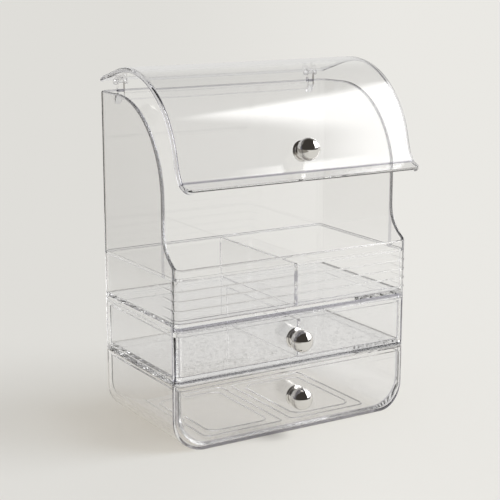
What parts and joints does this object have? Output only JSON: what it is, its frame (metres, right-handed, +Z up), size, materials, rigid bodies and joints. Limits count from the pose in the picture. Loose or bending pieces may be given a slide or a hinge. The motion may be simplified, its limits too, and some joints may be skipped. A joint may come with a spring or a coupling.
{
  "type": "makeup organizer",
  "caption": "Clear dustproof makeup organizer with a domed flip-up lid over a divided open tray, wrap-round drawers below and chrome ball knobs.",
  "frame": {"origin": "middle of the cabinet's footprint, on the table it stands on", "axes": "+Z up, +Y to the back, +X to the right as seen from the front"},
  "size_m": [0.2412, 0.1626, 0.3219],
  "materials": {
    "clear_plastic": "clear, polished",
    "chrome": "mirror plated",
    "screw_steel": "zinc plated"
  },
  "bodies": {
    "cabinet": {"lower_casing": "clear_plastic", "upper_casing": "clear_plastic", "tray": "clear_plastic", "tray_divider": "clear_plastic", "hood": "clear_plastic", "left_hinge_pin": "clear_plastic", "right_hinge_pin": "clear_plastic"},
    "lid": {"lid_shell": "clear_plastic", "lid_knob": "chrome", "lid_knob_base": "chrome", "lid_knob_screw": "screw_steel"},
    "upper_drawer_unit": {"upper_drawer": "clear_plastic", "upper_drawer_divider": "clear_plastic", "upper_drawer_knob": "chrome", "upper_drawer_knob_base": "chrome", "upper_drawer_knob_screw": "screw_steel"},
    "lower_drawer_unit": {"lower_drawer": "clear_plastic", "lower_drawer_knob": "chrome", "lower_drawer_knob_base": "chrome", "lower_drawer_knob_screw": "screw_steel"}
  },
  "joints": [
    {"name": "lid_hinge", "type": "hinge", "parent": "cabinet", "child": "lid", "pos_m": [0, 0.0645, 0.3055], "axis": [-1, 0, 0], "range_deg": [-15.5, 84.5]},
    {"name": "upper_drawer_slide", "type": "slide", "parent": "cabinet", "child": "upper_drawer_unit", "axis": [0, -1, 0], "range_m": [0, 0.1]},
    {"name": "lower_drawer_slide", "type": "slide", "parent": "cabinet", "child": "lower_drawer_unit", "axis": [0, -1, 0], "range_m": [0, 0.1]}
  ]
}
